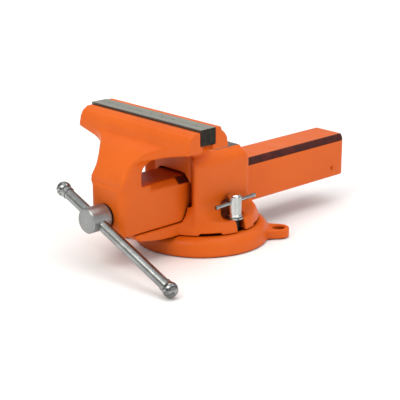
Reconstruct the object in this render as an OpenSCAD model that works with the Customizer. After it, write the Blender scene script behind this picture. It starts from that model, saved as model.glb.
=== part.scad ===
// Bench vise on a swivel base, 150 mm jaws, jaws closed at rest.
// X runs along the jaws, +Y points to the rear of the slide, +Z is up.
// The origin is on the swivel axis at the underside of the base.

/* [Jaws] */
// Width of both jaws
jaw_w = 150; // [120:1:180]
// Thickness of one jaw plate
plate_t = 8.8; // [6:0.1:12]
// Height of a jaw plate
plate_h = 14.9; // [12:0.1:20]
// Height of the plate tops above the bench
jaw_top = 132.1; // [125:0.1:140]
// Where the two plates meet, measured from the swivel axis
grip_y = -63; // [-70:0.5:-58]
// Gap left between the closed plates
grip_gap = 0.3; // [0.2:0.1:1]
// Spacing of the two screws of a plate
plate_screw_gap = 84; // [60:1:110]

/* [Slide bar] */
// Width of the square slide bar
bar_w = 44.8; // [40:0.2:50]
// Height of the underside of the bar
bar_z0 = 30; // [29.8:0.1:32]
// Height of the top of the bar
bar_z1 = 72.9; // [68:0.1:76]
// Rear end of the bar
bar_rear = 185; // [170:0.5:200]
// Machined chamfer on the two top edges
bar_cham = 5.4; // [3:0.1:7]
// Width of the open channel in the underside
channel_w = 28; // [24:0.5:30]
// Height of the roof of that channel
channel_z = 61.2; // [60.5:0.1:64]

/* [Spindle] */
// Height of the spindle axis
screw_z = 47.2; // [46:0.1:48]
// Radius over the thread
screw_r = 9; // [8:0.1:10]
// Depth of the thread
thread_d = 1.3; // [0.8:0.1:2]
// Lead of the single start thread
lead = 5; // [3:0.5:6]
// Rear end of the spindle
screw_rear = 150; // [146:1:160]
// Radius of the spindle head
head_r = 11.8; // [10:0.1:14]
// Front face of the head
head_y = -141.7; // [-146:0.1:-138]

/* [Handle] */
// Radius of the handle rod
rod_r = 5.16; // [4:0.02:6]
// Distance between the ball centres
ball_span = 155; // [140:1:170]
// Distance from the spindle axis to the low ball
ball_reach = 107; // [90:1:120]
// Radius of the balls
ball_r = 7.05; // [6:0.05:9]
// Tilt of the handle, low end to +X
handle_tilt = 21.6; // [0:0.2:22]

/* [Body] */
// Width of the anvil pad
body_w = 56; // [52:0.5:62]
// Outer width over the walls beside the slide bar
wall_w = 72; // [66:0.5:74]
// Height of the anvil
anvil_z = 93; // [90:0.2:96]
// Rear face of the body
body_rear = 31; // [28:0.1:36]
// Front edges of the walls
body_front = -42; // [-45:0.5:-38]
// Radius of the swivel flange
flange_r = 56; // [52:0.5:57]
// Top of the swivel flange
flange_z = 29; // [27:0.2:30]

/* [Swivel base] */
// Radius of the base at the bench
base_r = 65.2; // [62:0.2:70]
// Height of the base
base_h = 17.5; // [16:0.1:19]
// Radius of the circle through the two bench bolt holes
lug_c = 74.8; // [72:0.2:80]
// Radius of a bench bolt hole
lug_hole_r = 6.2; // [5:0.1:7]
// Height of the lugs
lug_h = 9.5; // [8:0.1:12]

/* [Swivel locks] */
// Distance of the lock bolts from the swivel axis
lock_x = 45; // [43:0.5:47]
// Radius of a lock nut
lock_r = 6.7; // [6:0.1:8]
// Top of a lock nut
lock_top = 52; // [50:0.5:56]
// Height of the cross bars
lock_bar_z = 44.8; // [44:0.1:48]
// Radius of a cross bar
lock_bar_r = 1.8; // [1.6:0.1:2.4]
// Length of a cross bar over its tips
lock_bar_l = 57; // [44:1:62]

/* [Hidden] */
$fn = 48;

paint = [0.86, 0.33, 0.14];
steel = [0.62, 0.63, 0.62];
chrome = [0.78, 0.80, 0.80];
dark = [0.30, 0.29, 0.28];

half = jaw_w / 2;
bar_h = bar_w / 2;
body_h = body_w / 2;
wall_h = wall_w / 2;
mouth_y = -35.5;       // where the walls meet the bar at the front
lintel_y = -38.5;      // front of the roof over the bar
slip = 0.3;            // gap between faces of pieces that slide past
plate_z = jaw_top - plate_h;
mov_back = grip_y - grip_gap / 2 - plate_t;
fix_back = grip_y + grip_gap / 2 + plate_t;
floor_z = bar_z0 - 0.4;
front_y = -119.1;      // front face of the block round the spindle
bore_r = screw_r + 0.06;
wall_y = -92;          // inner side of the block
head_back = -120.4;
handle_y = (head_y + head_back) / 2;
collar_y = -91.7;
collar_l = 8;
collar_r = 12.8;
neck_y = -94.5;
neck_fr = 11;          // fillets of the neck into the wings, front and plan
plan_fr = 32;
screw_dz = plate_z + plate_h / 2;
deck_z = base_h + 0.3; // underside of the swivel flange
tslot_in = 39.5;
tslot_out = 50.5;
far_lock_a = -4;       // how the two cross bars are turned at rest
stop_y = 166;          // pins that stop the bar at the body
stop_z = 39.5;
near_lock_a = 5;
near_lock_s = 1.6;     // how far they are slid at rest
far_lock_s = -3;

// ---- helpers -------------------------------------------------------

// A (y, z) outline drawn out along X, centred.
module across(w) {
  rotate([90, 0, 90]) linear_extrude(w, center = true) children();
}

// An (x, z) outline drawn out along Y from y0 to y1.
module along(y0, y1) {
  translate([0, y1, 0]) rotate([90, 0, 0]) linear_extrude(y1 - y0) children();
}

// An (x, y) outline drawn up from z0 to z1.
module rise(z0, z1) {
  translate([0, 0, z0]) linear_extrude(z1 - z0) children();
}

module both_x() {
  children();
  mirror([1, 0, 0]) children();
}

module rod_x(x0, x1, r) {
  translate([x0, 0, 0]) rotate([0, 90, 0]) cylinder(h = x1 - x0, r = r);
}

module rod_y(y0, y1, r) {
  translate([0, y0, 0]) rotate([-90, 0, 0]) cylinder(h = y1 - y0, r = r);
}

// Section of the slide bar, grown by g on every side but the bottom.
module bar_section(g = 0) {
  polygon([[-bar_h - g, bar_z0 - g], [bar_h + g, bar_z0 - g],
           [bar_h + g, bar_z1 - bar_cham + g * 0.4],
           [bar_h - bar_cham + g * 0.4, bar_z1 + g],
           [-bar_h + bar_cham - g * 0.4, bar_z1 + g],
           [-bar_h - g, bar_z1 - bar_cham + g * 0.4]]);
}

// Square with round corners, all four of radius r.
module round_box(x0, y0, x1, y1, r) {
  union() {
    translate([x0 + r, y0]) square([x1 - x0 - 2 * r, y1 - y0]);
    translate([x0, y0 + r]) square([x1 - x0, y1 - y0 - 2 * r]);
    for (x = [x0 + r, x1 - r])
      for (y = [y0 + r, y1 - r])
        translate([x, y]) circle(r);
  }
}

// Front outline of one jaw casting: neck of half width w, filleted into
// the wings, from z0 up to z1.
module jaw_front(w, z0, z1) {
  difference() {
    union() {
      translate([-w, z0]) square([2 * w, z1 - z0]);
      both_x() polygon([[w - 1, 89.8], [w + neck_fr, 89.8],
                        [w + neck_fr, 89.9 + neck_fr], [50, 105.6],
                        [60, 108], [half, 111.6],
                        [half, z1], [w - 1, z1]]);
    }
    both_x() translate([w + neck_fr, 89.8]) circle(neck_fr);
  }
}

// Plan of one jaw casting, neck at y from 0 to n, wings from n to b.
module jaw_plan(w, n, b) {
  difference() {
    union() {
      translate([-w, 0]) square([2 * w, b]);
      both_x() polygon([[w - 1, n - plan_fr], [w + plan_fr, n - plan_fr],
                        [w + plan_fr, n - 0.1], [half, n],
                        [half, b], [w - 1, b]]);
    }
    both_x() translate([w + plan_fr, n - plan_fr - 0.1]) circle(plan_fr);
  }
}

// Side outline of a jaw end: seat and ledge for the plate, sloped back.
// d runs away from the plate, so both jaws share it.
module wing_side(top, step) {
  polygon([[0, top], [7.1, top - 0.4], [8, top - 0.5 - step],
           [11.6, 127.0 - step * 0.4], [14.5, 121.6], [16.4, 113.2],
           [14.6, 111.4], [6, 111.2], [-2.6, 112.7],
           [-3.3, plate_z - 0.2], [0, plate_z - 0.2]]);
}

// Side outline of the neck between the wing and the block below.
module neck_side(drop) {
  difference() {
    polygon([[-2.8, 113], [1, 104.5], [6.4, 98.2], [12, 90], [22.4, 82.6],
             [22.4, drop], [43, drop], [45.2, drop + 1.8],
             [46, drop + 5], [45.3, 80.8], [44, 84.4], [42.6, 87.8],
             [40.9, 91.3], [38.8, 94.8], [36.4, 98.2], [33.6, 101.6],
             [30, 105.2], [25.4, 109], [15.6, 114.2], [6, 118]]);
    translate([6.4, 82.6]) circle(16);
  }
}

// ---- swivel base ---------------------------------------------------

module lug() {
  difference() {
    union() {
      rise(0, lug_h) {
        translate([lug_c, 0]) circle(10.4);
        polygon([[50, -20], [58, -19], [66, -12.2], [lug_c, -10.4],
                 [lug_c, 10.4], [66, 12.2], [58, 19], [50, 20]]);
      }
      rotate([90, 0, 0]) linear_extrude(17, center = true)
        polygon([[50, 5], [68.5, 5], [68.5, lug_h], [66.5, lug_h + 0.6],
                 [57, base_h - 0.6], [50, base_h - 0.6]]);
    }
    translate([lug_c, 0, -1]) cylinder(h = lug_h + 12, r = lug_hole_r);
    translate([lug_c, 0, lug_h]) cylinder(h = 8, r = 10.2);
  }
}

// Round blank of the base, with a rolled upper rim.
module base_blank() {
  rotate_extrude($fn = 96)
    polygon([[0, 0], [base_r, 0], [base_r, 4], [base_r - 0.9, 10.6],
             [base_r - 2.5, 14], [base_r - 5.2, 16.4],
             [base_r - 8.4, base_h], [0, base_h]]);
}

module swivel_base() {
  color(paint) difference() {
    base_blank();
    // annular T-slot for the two lock bolts
    rotate_extrude($fn = 96)
      polygon([[tslot_in, base_h + 1], [tslot_in, 11], [tslot_in - 5, 11],
               [tslot_in - 5, 4], [tslot_out + 5, 4],
               [tslot_out + 5, 11], [tslot_out, 11],
               [tslot_out, base_h + 1]]);
    // seat of the pivot pin
    translate([0, 0, 3]) cylinder(h = 20, r = 12);
    // shallow relief ring in the underside
    rotate_extrude($fn = 96) translate([20, -1]) square([11, 3]);
  }
}

// The two bench bolt lugs, cast on the rim.
module base_lugs() {
  color(paint) for (a = [45, 225])
    difference() {
      rotate([0, 0, a]) lug();
      base_blank();
    }
}

module pivot_pin() {
  color(dark) {
    translate([0, 0, 3]) cylinder(h = 22, r = 12);
    translate([0, 0, 25]) cylinder(h = 1, r1 = 12, r2 = 11);
  }
}

// ---- body with the rear jaw ----------------------------------------

// Concave fillet that runs out from a wall to the flange.
module flare_side(r) {
  difference() {
    translate([-1, -1]) square([r + 1, r + 1]);
    translate([r, r]) circle(r);
  }
}

module flare() {
  r = 16;
  x = wall_h;
  z = flange_z;
  both_x() {
    // along the side walls
    translate([x, body_rear, z]) rotate([90, 0, 0])
      linear_extrude(body_rear - body_front) flare_side(r);
    // round the four corners
    for (c = [[body_front, -90], [body_rear, 0]])
      translate([x, c[0], z]) rotate([0, 0, c[1]])
        rotate_extrude(angle = 90) intersection() {
          flare_side(r);
          translate([0, -2]) square(r + 4);
        }
  }
  // across the rear, and across the front below the mouth
  across(2 * x) translate([body_rear, z]) flare_side(r);
  across(2 * x) translate([body_front, z]) mirror([1, 0]) flare_side(r);
  across(2 * bar_h + 8) translate([mouth_y, z]) mirror([1, 0])
    flare_side(r);
}

module body_blank() {
  // column with the channel walls and the anvil
  intersection() {
    across(wall_w)
      polygon([[body_front, 18.5], [body_front, anvil_z],
               [24, anvil_z], [24.4, 91], [25.2, 89.8], [27.4, 87.6],
               [29.6, 83.6], [body_rear, 79], [body_rear, 18.5]]);
    along(-60, 60)
      polygon([[-wall_h, 18.5], [-wall_h, 83], [-wall_h + 1.2, 86.2],
               [-body_h - 2.4, 90.6], [-body_h, 91.8], [-body_h, anvil_z],
               [body_h, anvil_z], [body_h, 91.8], [body_h + 2.4, 90.6],
               [wall_h - 1.2, 86.2], [wall_h, 83], [wall_h, 18.5]]);
    rise(10, 120) difference() {
      union() {
        round_box(-wall_h, 0, wall_h, body_rear, 6);
        round_box(-wall_h, body_front, wall_h, 20, 2.5);
      }
      // the mouth recedes towards the bar
      polygon([[-wall_h + 2, body_front - 1], [-bar_h - 0.5, mouth_y],
               [bar_h + 0.5, mouth_y], [wall_h - 2, body_front - 1]]);
    }
  }
  // roof over the bar, up into the rear jaw
  translate([-bar_h - 1, lintel_y, 66]) cube([bar_w + 2, 20, 27]);
  intersection() {
    flare();
    cylinder(h = 60, r = flange_r - 3.2, $fn = 96);
  }
  // swivel flange
  rotate_extrude($fn = 96)
    polygon([[0, deck_z], [flange_r - 0.6, deck_z], [flange_r, deck_z + 1],
             [flange_r - 1.2, flange_z - 5], [flange_r - 2.6, flange_z - 1.4],
             [flange_r - 4, flange_z], [0, flange_z]]);
  // tongue that reaches forward under the slide
  intersection() {
    across(48.4)
      polygon([[-102, floor_z], [-102, 25.2], [-99.5, 23.6], [-90, 21.4],
               [-76, 19], [-62, deck_z + 0.2], [-20, deck_z + 0.2],
               [-20, floor_z]]);
    rise(10, 40) round_box(-24.2, -102, 24.2, 20, 5);
  }
  // ground under the bar from front to rear
  rise(flange_z - 1, floor_z) round_box(-24, -50, 24, 47, 6);
}

module fixed_jaw_blank() {
  translate([0, fix_back, 0]) {
    across(jaw_w) wing_side(jaw_top, 3.4);
    intersection() {
      across(jaw_w) neck_side(71.2);
      along(-40, 120) jaw_front(body_h, 60, 127);
      translate([0, 30, 0]) mirror([0, 1, 0]) rise(60, 140)
        translate([0, -30, 0]) jaw_plan(body_h, 44, 90);
    }
  }
}

module fixed_body() {
  color(paint) difference() {
    union() {
      body_blank();
      intersection() {
        fixed_jaw_blank();
        translate([-100, -80, 60]) cube([200, 160, 80]);
      }
    }
    // channel for the slide bar
    along(-130, 90) bar_section(slip);
    // relief in the roof over the bar
    translate([-bar_h + bar_cham, -60, bar_z1 - 1]) cube([bar_w - 2 * bar_cham, 48, 2.3]);
    // room above the channel floor, both ends
    translate([-bar_h - slip, -130, floor_z]) cube([bar_w + 2 * slip, 230, 4]);
    // pockets round the lock nuts
    both_x() {
      translate([lock_x, 0, flange_z]) cylinder(h = 15.5, r = 12.8);
      translate([lock_x, -12.8, flange_z]) cube([30, 25.6, 15.5]);
      // open slots for the lock bolts
      translate([lock_x, 0, 0]) cylinder(h = 60, r = 5.1);
      translate([lock_x, -5.1, 0]) cube([30, 10.2, 60]);
      // reliefs under the rim of the flange
      for (a = [-46, 20])
        translate([0, 0, deck_z - 1]) rotate([0, 0, a])
          rotate_extrude(angle = 23) translate([51, 0]) square([9, 3.2]);
    }
    // seat of the pivot pin
    translate([0, 0, deck_z - 4]) cylinder(h = 13, r = 12.07);
    // seat and bolt hole of the spindle nut, clear of the pivot
    translate([-13, 14, 26.4]) cube([26, 30, 12]);
    translate([0, 29, 10]) cylinder(h = 20, r = 4.1);
    translate([0, 29, 10]) cylinder(h = 13, r = 7.2);
    // threaded holes behind the plate
    both_x() translate([plate_screw_gap / 2, 0, screw_dz])
      rod_y(fix_back - 2, fix_back + 9, 3);
  }
}

// Grip plate: d is +1 for the rear plate and -1 for the front one.
module grip_plate(y0, d) {
  color(steel) translate([0, y0, 0]) difference() {
    translate([-half, d > 0 ? 0 : -plate_t, plate_z])
      cube([jaw_w, plate_t, plate_h]);
    both_x() translate([plate_screw_gap / 2, 0, screw_dz])
      scale([1, d, 1]) {
        rod_y(-1, plate_t + 1, 3.1);
        rotate([-90, 0, 0]) translate([0, 0, -0.01])
          cylinder(h = 4.2, r1 = 6.6, r2 = 3.1);
      }
    // shallow grip grooves
    for (x = [-60 : 15 : 60])
      if (abs(abs(x) - plate_screw_gap / 2) > 8)
        translate([x, 0, plate_z - 1]) rotate([0, 0, 45])
          translate([-0.6, -0.6, 0]) cube([1.2, 1.2, plate_h + 2]);
  }
}

module plate_screws(y0, d) {
  color(dark) both_x() translate([plate_screw_gap / 2, y0, screw_dz])
    scale([1, d, 1]) difference() {
      union() {
        rod_y(0.6, plate_t + 8, 3);
        rotate([-90, 0, 0]) translate([0, 0, 0.6])
          cylinder(h = 3.4, r1 = 5.9, r2 = 3);
      }
      // driver recess
      rod_y(-1, 2.6, 2.2);
    }
}

module fixed_jaw_plate() {
  grip_plate(grip_y + grip_gap / 2, 1);
}

module fixed_jaw_screws() {
  plate_screws(grip_y + grip_gap / 2, 1);
}

module spindle_nut() {
  color(steel) difference() {
    union() {
      translate([-13, 14, 26.4]) cube([26, 30, 33]);
      translate([-9, 10, 36.6]) cube([18, 6, 20]);
    }
    translate([0, 0, screw_z]) rod_y(0, 60, bore_r);
    translate([0, 29, 20]) cylinder(h = 17, r = 4);
    // slanted shoulders
    both_x() translate([13, 0, 59.4]) rotate([0, 45, 0])
      cube([5, 120, 5], center = true);
  }
}

module nut_bolt() {
  color(dark) translate([0, 29, 0]) difference() {
    union() {
      translate([0, 0, 18.4]) cylinder(h = 4.6, r = 6.6);
      translate([0, 0, 23]) cylinder(h = 13, r = 4);
    }
    translate([0, 0, 17]) cylinder(h = 4, r = 3.4, $fn = 6);
  }
}

module swivel_t_bolts() {
  color(dark) both_x() translate([lock_x, 0, 0]) {
    // T head held under the lips of the base slot
    intersection() {
      translate([0, 0, 5]) cylinder(h = 5.7, r = 9.4);
      translate([-8.6, -20, 0]) cube([17.2, 40, 20]);
    }
    translate([0, 0, 10.7]) cylinder(h = flange_z - 10.7, r = 5);
    translate([0, 0, flange_z]) cylinder(h = 12.4, r = 4);
    translate([0, 0, flange_z + 12.4]) cylinder(h = 0.8, r1 = 4, r2 = 3.2);
  }
}

module lock_washers() {
  color(chrome) both_x() translate([lock_x, 0, flange_z]) difference() {
    cylinder(h = 1.5, r = 8.7);
    translate([0, 0, -1]) cylinder(h = 4, r = 4.2);
  }
}

// ---- swivel locks --------------------------------------------------

module lock_nut(x, a) {
  z0 = flange_z + 1.8;
  color(chrome) translate([x, 0, 0]) difference() {
    union() {
      translate([0, 0, z0]) cylinder(h = 1.6, r = lock_r + 0.7);
      translate([0, 0, z0 + 1.6]) cylinder(h = 0.6, r1 = lock_r + 0.7, r2 = lock_r);
      translate([0, 0, z0]) cylinder(h = lock_top - 1.8 - z0, r = lock_r);
      translate([0, 0, lock_top - 1.8])
        cylinder(h = 1.1, r1 = lock_r, r2 = lock_r - 0.9);
      translate([0, 0, lock_top - 0.7])
        cylinder(h = 0.7, r1 = lock_r - 0.9, r2 = lock_r - 2.4);
    }
    translate([0, 0, z0 - 1]) cylinder(h = 12.6, r = 4.06);
    rotate([0, 0, a]) translate([0, 0, lock_bar_z])
      rod_y(-20, 20, lock_bar_r + 0.07);
  }
}

module lock_bar(x, a, s) {
  color(chrome) translate([x, 0, lock_bar_z]) rotate([0, 0, a])
    translate([0, s, 0]) {
      rod_y(-lock_bar_l / 2 + 4, lock_bar_l / 2 - 4, lock_bar_r);
      rod_y(-lock_bar_l / 2 + 1.5, lock_bar_l / 2 - 1.5, 1.2);
    }
}

module lock_tips(x, a, s) {
  color(chrome) translate([x, 0, lock_bar_z]) rotate([0, 0, a])
    translate([0, s, 0]) for (m = [0, 1]) mirror([0, m, 0]) difference() {
      translate([0, lock_bar_l / 2 - 4, 0]) rotate([-90, 0, 0])
        rotate_extrude() polygon([[0, 0], [1.9, 0], [2.2, 0.4], [2.2, 2.8],
                                  [1.8, 3.6], [1.1, 3.9], [0, 4]]);
      rod_y(lock_bar_l / 2 - 6, lock_bar_l / 2 - 1.5, 1.2);
    }
}

module lock_nut_near() {
  lock_nut(lock_x, near_lock_a);
}

module lock_bar_near() {
  lock_bar(lock_x, near_lock_a, near_lock_s);
}

module lock_tips_near() {
  lock_tips(lock_x, near_lock_a, near_lock_s);
}

module lock_nut_far() {
  lock_nut(-lock_x, far_lock_a);
}

module lock_bar_far() {
  lock_bar(-lock_x, far_lock_a, far_lock_s);
}

module lock_tips_far() {
  lock_tips(-lock_x, far_lock_a, far_lock_s);
}

// ---- slide with the front jaw --------------------------------------

module movable_jaw() {
  color(paint) difference() {
    union() {
      intersection() {
        along(-100, bar_rear) bar_section();
        rise(0, 80) round_box(-bar_h, -110, bar_h, bar_rear, 6.5);
      }
      // block round the spindle
      rise(bar_z0, 74) round_box(-bar_h, front_y, bar_h, -80, 7);
      translate([0, 0, screw_z]) rod_y(front_y - 0.001, front_y + 3, 15.9);
      // neck and wings
      translate([0, mov_back, 0]) mirror([0, 1, 0]) {
        across(jaw_w) wing_side(jaw_top - 2, 1);
        intersection() {
          across(jaw_w) neck_side(71.2);
          along(-40, 120) jaw_front(bar_h, 60, 127);
          translate([0, 30, 0]) mirror([0, 1, 0]) rise(60, 140)
            translate([0, -30, 0]) jaw_plan(bar_h, 44, 90);
        }
      }
    }
    // open channel in the underside for the nut and the spindle
    translate([-channel_w / 2, wall_y, bar_z0 - 5])
      cube([channel_w, 400, channel_z - bar_z0 + 5]);
    // spindle bore
    translate([0, 0, screw_z]) rod_y(-140, -80, bore_r);
    // stop pins
    both_x() translate([0, stop_y, stop_z]) rod_x(10, 40, 1.6);
    // threaded holes behind the plate
    both_x() translate([plate_screw_gap / 2, 0, screw_dz])
      rod_y(mov_back - 9, mov_back + 2, 3);
  }
}

module movable_jaw_plate() {
  grip_plate(grip_y - grip_gap / 2, -1);
}

module movable_jaw_screws() {
  plate_screws(grip_y - grip_gap / 2, -1);
}

module bar_stop_pins() {
  color(steel) both_x() translate([0, stop_y, stop_z]) {
    rod_x(channel_w / 2, bar_h + 0.9, 1.6);
    rod_x(channel_w / 2, bar_h + 1.2, 1.2);
  }
}

// ---- spindle -------------------------------------------------------

module spindle_screw() {
  y0 = wall_y + 14;
  n = floor((screw_rear - 3 - y0) / lead);
  color(steel) difference() {
    translate([0, 0, screw_z]) rotate([-90, 0, 0]) {
      // head with turned shoulders
      rotate_extrude()
        polygon([[0, head_y], [head_r - 1.2, head_y], [head_r, head_y + 1.2],
                 [head_r, head_back - 1], [head_r - 1, head_back],
                 [screw_r, head_back], [screw_r, y0], [0, y0]]);
      // thread with the true pitch, drawn as rings
      rotate_extrude()
        polygon(concat(
          [[0, y0 - 1], [screw_r, y0 - 1], [screw_r, y0]],
          [for (i = [0 : n - 1]) each [
            [screw_r - thread_d, y0 + i * lead + 1.3],
            [screw_r - thread_d, y0 + i * lead + 2.6],
            [screw_r, y0 + i * lead + 3.4],
            [screw_r, y0 + i * lead + 4.9]]],
          [[screw_r - 1.5, screw_rear], [0, screw_rear]]));
    }
    // cross hole for the handle
    translate([0, handle_y, screw_z]) rotate([0, handle_tilt, 0])
      rod_x(-30, 30, rod_r + 0.07);
    // cross hole for the collar pin
    translate([0, collar_y + collar_l / 2, screw_z]) rotate([0, 90, 0])
      cylinder(h = 60, r = 2, center = true);
  }
}

module thrust_washer() {
  color(dark) translate([0, 0, screw_z]) difference() {
    rod_y(head_back, head_back + 1, head_r - 0.4);
    rod_y(head_back - 1, head_back + 2, screw_r + 0.1);
  }
}

module spindle_collar() {
  color(steel) translate([0, 0, screw_z]) difference() {
    rotate([-90, 0, 0]) rotate_extrude()
      polygon([[screw_r, collar_y], [collar_r - 0.8, collar_y],
               [collar_r, collar_y + 0.8],
               [collar_r, collar_y + collar_l - 0.8],
               [collar_r - 0.8, collar_y + collar_l],
               [screw_r, collar_y + collar_l]]);
    translate([0, collar_y + collar_l / 2, 0]) rod_x(-30, 30, 2);
  }
}

module collar_pin() {
  color(dark) translate([0, collar_y + collar_l / 2, screw_z])
    rod_x(-collar_r + 0.2, collar_r - 0.2, 2);
}

// ---- handle --------------------------------------------------------

module on_handle() {
  translate([0, handle_y, screw_z]) rotate([0, handle_tilt, 0]) children();
}

module handle_rod() {
  color(chrome) on_handle() {
    rod_x(ball_reach - ball_span + 5, ball_reach - 5, rod_r);
    rod_x(ball_reach - ball_span, ball_reach, 3.6);
  }
}

module handle_ball(s) {
  color(chrome) on_handle() translate([s, 0, 0])
    rotate([0, s > 0 ? -90 : 90, 0]) rotate_extrude() difference() {
      union() {
        intersection() {
          circle(ball_r);
          translate([0, -20]) square([20, 40]);
        }
        square([rod_r + 0.7, 7.6]);
      }
      // blind bore for the end of the rod
      translate([-1, 0]) square([4.6, 20]);
      translate([-1, 5]) square([rod_r + 1, 20]);
    }
}

module handle_ball_near() {
  handle_ball(ball_reach);
}

module handle_ball_far() {
  handle_ball(ball_reach - ball_span);
}

// ---- node switch ---------------------------------------------------

swivel_base();
base_lugs();
pivot_pin();
fixed_body();
fixed_jaw_plate();
fixed_jaw_screws();
spindle_nut();
nut_bolt();
swivel_t_bolts();
lock_washers();
lock_nut_near();
lock_bar_near();
lock_tips_near();
lock_nut_far();
lock_bar_far();
lock_tips_far();
movable_jaw();
movable_jaw_plate();
movable_jaw_screws();
bar_stop_pins();
spindle_screw();
thrust_washer();
spindle_collar();
collar_pin();
handle_rod();
handle_ball_near();
handle_ball_far();
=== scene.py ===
"""Looks of the bench vise: castings, paint, metals, floor, light and camera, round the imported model."""

import math

import bmesh
import bpy
import numpy as np
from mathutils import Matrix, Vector


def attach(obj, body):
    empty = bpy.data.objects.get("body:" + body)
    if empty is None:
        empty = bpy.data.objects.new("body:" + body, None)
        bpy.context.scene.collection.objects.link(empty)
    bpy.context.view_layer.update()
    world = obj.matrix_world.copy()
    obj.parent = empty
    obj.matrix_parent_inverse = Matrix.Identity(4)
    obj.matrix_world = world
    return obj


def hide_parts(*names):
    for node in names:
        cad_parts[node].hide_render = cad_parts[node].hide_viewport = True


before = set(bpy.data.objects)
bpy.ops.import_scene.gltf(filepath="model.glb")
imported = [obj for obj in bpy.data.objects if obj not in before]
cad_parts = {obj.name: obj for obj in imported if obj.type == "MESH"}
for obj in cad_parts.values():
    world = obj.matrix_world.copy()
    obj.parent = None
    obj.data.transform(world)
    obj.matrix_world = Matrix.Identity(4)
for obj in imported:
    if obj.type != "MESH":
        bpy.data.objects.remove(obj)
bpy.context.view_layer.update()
scene = bpy.context.scene
MM = 0.001

# Sizes of the vise that the masks and the base's joint need, in millimetres.
ANVIL_Z = 93.0  # top of the anvil
BAR_H, BAR_TOP, BAR_CHAM = 22.4, 72.9, 5.4  # slide bar: half width, top, chamfer
SCREW_Z = 47.2  # axis of the spindle
LOCK_X = 45.0  # axes of the lock nuts, on either side
RIM_Z = (0.0, 4.0, 10.6, 14.0, 16.4, 17.5)  # profile of the base's rim, from below
RIM_R = (65.2, 65.2, 64.3, 62.7, 60.0, 56.8)
LUG_SINK = 4.5  # how far the lugs reach into the rim
VOXEL = 0.9  # grid of the castings' skins

# ---- node graphs ---------------------------------------------------

class Graph:
    """A material's node tree with short calls."""

    def __init__(self, name):
        self.mat = bpy.data.materials.new(name)
        self.mat.use_nodes = True
        self.nt = self.mat.node_tree
        self.bsdf = self.nt.nodes["Principled BSDF"]
        coord = self.nt.nodes.new("ShaderNodeTexCoord")
        self.obj = coord.outputs["Object"]
        self.normal = coord.outputs["Normal"]

    def set(self, socket, value):
        if isinstance(value, bpy.types.NodeSocket):
            self.nt.links.new(value, socket)
        else:
            socket.default_value = value

    def put(self, name, value):
        self.set(self.bsdf.inputs[name], value)

    def scaled(self, sx, sy, sz, source=None):
        n = self.nt.nodes.new("ShaderNodeMapping")
        self.set(n.inputs["Vector"], source or self.obj)
        n.inputs["Scale"].default_value = (sx, sy, sz)
        return n.outputs[0]

    def noise(self, scale, detail=3.0, rough=0.55, source=None):
        n = self.nt.nodes.new("ShaderNodeTexNoise")
        self.set(n.inputs["Vector"], source or self.obj)
        n.inputs["Scale"].default_value = scale
        n.inputs["Detail"].default_value = detail
        n.inputs["Roughness"].default_value = rough
        return n.outputs[0]

    def cells(self, scale, source=None):
        n = self.nt.nodes.new("ShaderNodeTexVoronoi")
        self.set(n.inputs["Vector"], source or self.obj)
        n.inputs["Scale"].default_value = scale
        return n.outputs["Distance"]

    def recess_shade(self, reach):
        """1 on open faces, towards 0 down in corners and slots."""
        n = self.nt.nodes.new("ShaderNodeAmbientOcclusion")
        n.samples = 8
        n.inputs["Distance"].default_value = reach
        return n.outputs["AO"]

    def math(self, op, a, b=0.0, c=0.0):
        n = self.nt.nodes.new("ShaderNodeMath")
        n.operation = op
        for socket, value in zip(n.inputs, (a, b, c)):
            self.set(socket, value)
        return n.outputs[0]

    def length(self, a, b):
        return self.math("SQRT", self.math("ADD", self.math("MULTIPLY", a, a), self.math("MULTIPLY", b, b)))

    def spread(self, value, a, b, lo=0.0, hi=1.0):
        """value from a..b is spread smoothly over lo..hi."""
        n = self.nt.nodes.new("ShaderNodeMapRange")
        n.interpolation_type = "SMOOTHSTEP"
        self.set(n.inputs["Value"], value)
        n.inputs["From Min"].default_value = a
        n.inputs["From Max"].default_value = b
        n.inputs["To Min"].default_value = lo
        n.inputs["To Max"].default_value = hi
        return n.outputs[0]

    def mix(self, factor, a, b):
        n = self.nt.nodes.new("ShaderNodeMix")
        n.data_type = "RGBA"
        self.set(n.inputs[0], factor)
        self.set(n.inputs[6], a)
        self.set(n.inputs[7], b)
        return n.outputs[2]

    def xyz(self, source=None):
        n = self.nt.nodes.new("ShaderNodeSeparateXYZ")
        self.set(n.inputs[0], source or self.obj)
        return n.outputs[0], n.outputs[1], n.outputs[2]

    def bump(self, height, strength, distance, normal=None):
        n = self.nt.nodes.new("ShaderNodeBump")
        self.set(n.inputs["Height"], height)
        n.inputs["Strength"].default_value = strength
        n.inputs["Distance"].default_value = distance
        if normal is not None:
            self.set(n.inputs["Normal"], normal)
        return n.outputs[0]


def rgb(r, g, b):
    """An sRGB colour from 0 to 255, as linear RGBA."""
    out = []
    for v in (r, g, b):
        v /= 255
        out.append(v / 12.92 if v <= 0.04045 else ((v + 0.055) / 1.055) ** 2.4)
    return (*out, 1.0)


def band(g, value, lo, hi, soft):
    """1 where value lies from lo to hi, falling to 0 over soft."""
    up = g.spread(value, lo - soft, lo + soft)
    down = g.spread(value, hi - soft, hi + soft, 1.0, 0.0)
    return g.math("MULTIPLY", up, down)


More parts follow.
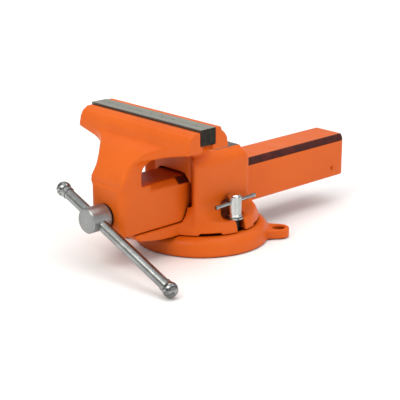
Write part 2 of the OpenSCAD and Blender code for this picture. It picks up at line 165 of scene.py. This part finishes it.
def painted(name, bare=None):
    """Orange enamel on cast iron, darkened by painted shade in recesses. bare(g) returns masks of ground
    steel and of dark machined iron.
    """
    g = Graph(name)
    wide = g.noise(14.0, 4.0, 0.6)
    fine = g.noise(90.0, 5.0, 0.6)
    colour = g.mix(g.spread(wide, 0.3, 0.7), rgb(209, 90, 12), rgb(217, 97, 15))
    colour = g.mix(g.spread(fine, 0.62, 0.8, 0.0, 0.25), colour, rgb(190, 72, 14))
    specks = g.spread(g.cells(160.0), 0.02, 0.09, 0.22, 0.0)
    colour = g.mix(specks, colour, rgb(140, 40, 16))
    # Painted shade: the paint turns deep red in corners, slots and the throat, where shade falls.
    colour = g.mix(g.spread(g.recess_shade(0.045), 0.08, 0.5, 1.0, 0.0), colour, rgb(98, 16, 5))
    rough = g.spread(g.noise(55.0, 4.0), 0.25, 0.75, 0.36, 0.5)
    cast = g.noise(260.0, 3.0, 0.6)
    peel = g.noise(900.0, 2.0, 0.5)
    normal = g.bump(cast, 0.30, 0.0006)
    normal = g.bump(peel, 0.10, 0.00025, normal)
    metal = 0.0
    if bare:
        steel, dark = bare(g)
        scratch = g.noise(60.0, 4.0, 0.7, g.scaled(40.0, 1.0, 1.0))
        ground = g.mix(g.spread(scratch, 0.3, 0.7), rgb(70, 64, 56), rgb(112, 104, 92))
        rust = g.mix(g.spread(g.noise(120.0, 4.0), 0.3, 0.75), rgb(48, 11, 7), rgb(80, 20, 11))
        colour = g.mix(dark, g.mix(steel, colour, ground), rust)
        metal = g.math("MULTIPLY", steel, 0.6)
        rough = g.math("ADD", rough, g.math("MULTIPLY", steel, -0.06))
        groove = g.math("MULTIPLY", scratch, steel)
        normal = g.bump(groove, 0.25, 0.0002, normal)
    g.put("Base Color", colour)
    g.put("Roughness", rough)
    g.put("Metallic", metal)
    g.put("Normal", normal)
    g.put("Specular IOR Level", 0.2)
    g.put("Coat Weight", 0.06)
    g.put("Coat Roughness", 0.22)
    return g.mat


def anvil_bare(g):
    """The ground top of the anvil, behind the rear jaw."""
    x, y, z = g.xyz()
    top = g.spread(z, (ANVIL_Z - 0.55) * MM, (ANVIL_Z - 0.25) * MM)
    low = g.spread(z, (ANVIL_Z + 0.6) * MM, (ANVIL_Z + 1.2) * MM, 1.0, 0.0)
    edge = band(g, x, -0.0272, 0.0272, 0.0004)
    steel = g.math("MULTIPLY", g.math("MULTIPLY", top, low), edge)
    steel = g.math("MULTIPLY", steel, g.spread(y, -0.009, -0.006))
    return steel, 0.0


def bar_bare(g):
    """The machined chamfers of the slide bar, behind the throat's front."""
    x, y, z = g.xyz()
    side = g.math("ADD", g.math("ABSOLUTE", x), z)
    limit = (BAR_H + BAR_TOP - BAR_CHAM) * MM
    on = g.spread(side, limit - 0.0011, limit - 0.0006)
    on = g.math("MULTIPLY", on, band(g, z, 0.0668, 0.0735, 0.0004))
    on = g.math("MULTIPLY", on, g.spread(y, -0.052, -0.049))
    return 0.0, on


def plate_steel():
    """Hardened plates: ground and grey on top, blackened elsewhere."""
    g = Graph("plate_steel")
    _, ny, nz = g.xyz(g.normal)
    top = g.spread(nz, 0.5, 0.9)
    lines = g.noise(70.0, 5.0, 0.7, g.scaled(1.0, 30.0, 30.0))
    bright = g.mix(g.spread(lines, 0.3, 0.7), rgb(124, 125, 117), rgb(160, 161, 151))
    dull = g.mix(g.spread(g.noise(130.0, 4.0), 0.3, 0.7), rgb(34, 31, 28), rgb(54, 50, 44))
    grey = g.mix(g.spread(g.math("ABSOLUTE", ny), 0.5, 0.9), dull, rgb(92, 91, 87))
    g.put("Base Color", g.mix(top, grey, bright))
    g.put("Metallic", g.math("MULTIPLY_ADD", top, -0.35, 0.85))
    g.put("Roughness", g.spread(g.noise(90.0, 4.0), 0.3, 0.7, 0.38, 0.52))
    g.put("Normal", g.bump(lines, 0.2, 0.0001))
    return g.mat


def mottled_with_painted_reflections(g, a, b, dark, amount, scale=2.4):
    """Plating mottled from a to b, with painted reflections: soft dark streaks run along the piece, because
    they follow its normal.
    """
    cloud = g.noise(70.0, 4.0, 0.6)
    reflection_bands = g.noise(scale, 2.0, 0.5, g.normal)
    colour = g.mix(g.spread(cloud, 0.3, 0.7), a, b)
    # Painted reflections: dark streaks that follow the normal.
    return g.mix(g.spread(reflection_bands, 0.56, 0.44, 0.0, amount), colour, dark)


def turned(name, a, b, rough, centre, axis, strength=0.3, dark=None):
    """Turned steel with fine rings round an axis through centre, with painted reflection streaks where dark
    is given.
    """
    g = Graph(name)
    move = g.nt.nodes.new("ShaderNodeMapping")
    g.set(move.inputs["Vector"], g.obj)
    move.inputs["Location"].default_value = tuple(-v for v in centre)
    x, y, z = g.xyz(move.outputs[0])
    u, v, w = {"y": (x, z, y), "z": (x, y, z)}[axis]
    radius = g.length(u, v)
    pack = g.nt.nodes.new("ShaderNodeCombineXYZ")
    g.set(pack.inputs[0], radius)
    g.set(pack.inputs[1], w)
    rings = g.noise(2600.0, 2.0, 0.6, pack.outputs[0])
    cloud = g.noise(80.0, 4.0, 0.6)
    if dark:
        g.put("Base Color", mottled_with_painted_reflections(g, a, b, dark, 0.5))
    else:
        g.put("Base Color", g.mix(g.spread(rings, 0.25, 0.75), a, b))
    g.put("Metallic", 1.0)
    g.put("Roughness", g.spread(cloud, 0.3, 0.7, rough - 0.05, rough + 0.07))
    g.put("Normal", g.bump(rings, strength, 0.00005))
    return g.mat


def plated(name, a, b, rough, dark):
    """Bright plating, a little clouded, with faint handling marks and painted dark reflection streaks."""
    g = Graph(name)
    marks = g.noise(420.0, 3.0, 0.7, g.scaled(1.0, 6.0, 6.0))
    g.put("Base Color", mottled_with_painted_reflections(g, a, b, dark, 0.8, 3.4))
    g.put("Metallic", 1.0)
    g.put("Roughness", g.spread(marks, 0.3, 0.75, rough, rough + 0.1))
    g.put("Normal", g.bump(marks, 0.12, 0.00008))
    return g.mat


def blackened():
    g = Graph("black_steel")
    cloud = g.noise(150.0, 4.0, 0.6)
    g.put("Base Color", g.mix(g.spread(cloud, 0.3, 0.7), rgb(30, 28, 26), rgb(62, 58, 54)))
    g.put("Metallic", 0.8)
    g.put("Roughness", g.spread(cloud, 0.3, 0.7, 0.4, 0.58))
    g.put("Normal", g.bump(g.noise(700.0, 3.0), 0.15, 0.0001))
    return g.mat


# ---- meshes --------------------------------------------------------

def make(name, mesh, mat):
    obj = bpy.data.objects.new(name, mesh)
    scene.collection.objects.link(obj)
    obj.data.materials.clear()
    obj.data.materials.append(mat)
    obj.data.shade_smooth()
    return obj


def sink(mesh):
    """Pushes the lugs' inner faces, which lie on the rim of the base, into it, so that the two join."""
    for v in mesh.vertices:
        r = math.hypot(v.co.x, v.co.y)
        rim = float(np.interp(v.co.z / MM, RIM_Z, RIM_R)) * MM
        if r < rim + 0.0002:
            v.co.x *= (r - LUG_SINK * MM) / r
            v.co.y *= (r - LUG_SINK * MM) / r


def voxelled(nodes):
    """CAD nodes' meshes rebuilt as one skin of even quads. Nodes after the first are lugs, sunk into it."""
    bm = bmesh.new()
    for k, node in enumerate(nodes):
        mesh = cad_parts[node].data.copy()
        if k:
            sink(mesh)
        bm.from_mesh(mesh)
        bpy.data.meshes.remove(mesh)
    joined = bpy.data.meshes.new("joined")
    bm.to_mesh(joined)
    bm.free()
    tmp = bpy.data.objects.new("tmp", joined)
    scene.collection.objects.link(tmp)
    mod = tmp.modifiers.new("voxels", "REMESH")
    mod.mode = "VOXEL"
    mod.voxel_size = VOXEL * MM
    bpy.context.view_layer.update()
    graph = bpy.context.evaluated_depsgraph_get()
    mesh = bpy.data.meshes.new_from_object(tmp.evaluated_get(graph))
    bpy.data.objects.remove(tmp)
    return mesh


def relax(mesh, steps, weight):
    """Evens out the surface: every vertex moves towards the middle of its neighbours.

    That is done steps times. weight is one number, or a function of the points in metres.
    """
    n = len(mesh.vertices)
    co = np.empty(n * 3)
    mesh.vertices.foreach_get("co", co)
    co = co.reshape(n, 3)
    e = np.empty(len(mesh.edges) * 2, dtype=np.int64)
    mesh.edges.foreach_get("vertices", e)
    a, b = e[0::2], e[1::2]
    count = np.bincount(a, minlength=n) + np.bincount(b, minlength=n)
    w = weight(co)[:, None] if callable(weight) else weight
    for _ in range(steps):
        mean = np.empty_like(co)
        for k in range(3):
            mean[:, k] = np.bincount(a, co[b, k], n) + np.bincount(b, co[a, k], n)
        mean /= np.maximum(count, 1)[:, None]
        co += (mean - co) * w
    mesh.vertices.foreach_set("co", co.reshape(-1))
    mesh.update()


def ramp(v, a, b):
    t = np.clip((v - a) / (b - a), 0.0, 1.0)
    return t * t * (3 - 2 * t)


def casting(nodes, body, mat, strong=None, steps=0):
    """Replaces CAD castings with one that has rounded edges: strong(co in mm) says where they are wide."""
    mesh = voxelled(nodes)
    if strong:
        relax(mesh, steps, lambda co: 0.6 * strong(co / MM))
    relax(mesh, 5, 0.5)
    obj = make(nodes[0] + "_cast", mesh, mat)
    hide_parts(*nodes)
    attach(obj, body)


def movable_strong(co):
    """The front of the neck, where it swells out into the wings."""
    x, y, z = co.T
    height = ramp(z, 80, 92) * (1 - ramp(z, 108, 113))
    return height * (1 - ramp(y, -110, -99)) * (1 - ramp(np.abs(x), 50, 68))


def fixed_strong(co):
    """The back of the rear jaw, the tops of the walls by the anvil, and the body's foot on its flange."""
    x, y, z = co.T
    side = np.abs(x)
    jaw = ramp(z, 94, 97) * (1 - ramp(z, 108, 113)) * ramp(y, -38, -30) * (1 - ramp(side, 50, 68))
    wall = ramp(z, 79, 83) * (1 - ramp(z, 90, 91.6)) * ramp(side, 27.5, 30) * ramp(y, -32, -24)
    foot = ramp(z, 29.6, 32) * (1 - ramp(z, 46, 52)) * (1 - ramp(z, 44, 50))
    foot = foot * ramp(np.hypot(x, y), 36, 42)
    return np.maximum(jaw, np.maximum(0.8 * wall, 0.5 * foot))


def crisp(node, mat, width):
    """A CAD node that stays, with small broken edges."""
    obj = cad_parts[node]
    obj.data.materials.clear()
    obj.data.materials.append(mat)
    mod = obj.modifiers.new("edges", "BEVEL")
    mod.width = width * MM
    mod.segments = 3
    mod.limit_method = "ANGLE"
    mod.angle_limit = math.radians(35)
    mod.harden_normals = True


# ---- materials and pieces ------------------------------------------

orange_base = painted("paint_base")
orange_body = painted("paint_body", anvil_bare)
orange_jaw = painted("paint_jaw", bar_bare)
plates = plate_steel()
on_screw = (0, 0, SCREW_Z * MM)
spindle_steel = turned("turned_steel", rgb(124, 126, 126), rgb(168, 170, 170), 0.36, on_screw, "y")
nut_steel = turned("nut_steel", rgb(120, 116, 104), rgb(160, 154, 140), 0.42, on_screw, "y")
# The last colour of each plated or lock piece is the dark of its painted reflection streaks.
rod_zinc = plated("zinc_rod", rgb(138, 140, 140), rgb(172, 174, 173), 0.18, rgb(66, 68, 68))
bar_zinc = plated("zinc_bar", rgb(150, 153, 153), rgb(190, 193, 192), 0.16, rgb(40, 42, 42))
lock_tones = rgb(202, 206, 205), rgb(232, 235, 235)
lock_zinc = {
    side: turned("zinc_lock_" + side, *lock_tones, 0.16, (x * MM, 0, 0), "z", 0.15, rgb(96, 101, 100))
    for side, x in (("near", LOCK_X), ("far", -LOCK_X))
}
black = blackened()

casting(["movable_jaw"], "front_jaw", orange_jaw, movable_strong, 60)
casting(["fixed_body"], "vise_body", orange_body, fixed_strong, 50)
casting(["swivel_base", "base_lugs"], "base", orange_base)

# Nodes that stay, by material and width of the broken edges in millimetres.
for mat, width, nodes in (
    (plates, 0.3, "fixed_jaw_plate movable_jaw_plate"),
    (black, 0.25, "fixed_jaw_screws movable_jaw_screws nut_bolt swivel_t_bolts"),
    (black, 0.25, "thrust_washer collar_pin pivot_pin"),
    (spindle_steel, 0.25, "spindle_collar spindle_screw"),
    (orange_base, 0.25, "bar_stop_pins"),
    (nut_steel, 0.5, "spindle_nut"),
    (bar_zinc, 0.3, "lock_washers"),
    (lock_zinc["near"], 0.3, "lock_nut_near"),
    (lock_zinc["far"], 0.3, "lock_nut_far"),
    (bar_zinc, 0.25, "lock_bar_near lock_tips_near lock_bar_far lock_tips_far"),
    (rod_zinc, 0.4, "handle_rod handle_ball_near handle_ball_far"),
):
    for node in nodes.split():
        crisp(node, mat, width)

# ---- floor, light and camera ---------------------------------------

floor_graph = Graph("floor")
grain = floor_graph.noise(3.0, 3.0)
whites = rgb(248, 248, 248), rgb(252, 252, 252)
floor_graph.put("Base Color", floor_graph.mix(floor_graph.spread(grain, 0.3, 0.7), *whites))
floor_graph.put("Roughness", 0.75)
# Beyond the reach of the lamps the floor glows a little, so that it stays white.
distance = floor_graph.length(*floor_graph.xyz()[:2])
floor_graph.put("Emission Color", (1.0, 1.0, 1.0, 1.0))
floor_graph.put("Emission Strength", floor_graph.spread(distance, 0.35, 1.5, 0.0, 0.6))
bm = bmesh.new()
bmesh.ops.create_grid(bm, x_segments=12, y_segments=12, size=9.0)
floor_mesh = bpy.data.meshes.new("floor")
bm.to_mesh(floor_mesh)
bm.free()
floor = make("floor", floor_mesh, floor_graph.mat)
floor.location.z = -0.0004

world = bpy.data.worlds.new("studio")
scene.world = world
world.use_nodes = True
sky = world.node_tree.nodes["Background"]
sky.inputs["Color"].default_value = (1.0, 1.0, 1.0, 1.0)
sky.inputs["Strength"].default_value = 0.62


def area(name, place, target, size, power, colour=(1.0, 1.0, 1.0)):
    light = bpy.data.lights.new(name, "AREA")
    light.shape = "RECTANGLE"
    light.size, light.size_y = size
    light.energy = power
    light.color = colour
    obj = bpy.data.objects.new(name, light)
    obj.location = place
    aim = Vector(target) - Vector(place)
    obj.rotation_euler = aim.to_track_quat("-Z", "Y").to_euler()
    scene.collection.objects.link(obj)


area("key", (0.1, -1.5, 1.6), (0, -0.02, 0.06), (1.3, 1.0), 16.5, (1.0, 0.97, 0.87))
area("top", (0.1, 0.2, 1.7), (0, 0.02, 0.05), (1.6, 1.6), 15.5)
area("fill", (1.7, 0.2, 0.8), (0, 0, 0.06), (1.2, 1.2), 4.5, (1.0, 0.87, 0.82))

camera = bpy.data.cameras.new("camera")
camera.sensor_width = 36.0
camera.lens = 112.7304
camera.clip_start = 0.05
camera.clip_end = 40.0
eye = bpy.data.objects.new("camera", camera)
azimuth, elevation = math.radians(46.6), math.radians(17.69)
flat = math.cos(elevation)
back = Vector((math.sin(azimuth) * flat, -math.cos(azimuth) * flat, math.sin(elevation)))
eye.location = (0.8368, -0.79336, 0.40376)
eye.rotation_euler = (-back).to_track_quat("-Z", "Y").to_euler()
scene.collection.objects.link(eye)
scene.camera = eye
scene.view_settings.view_transform = "Standard"
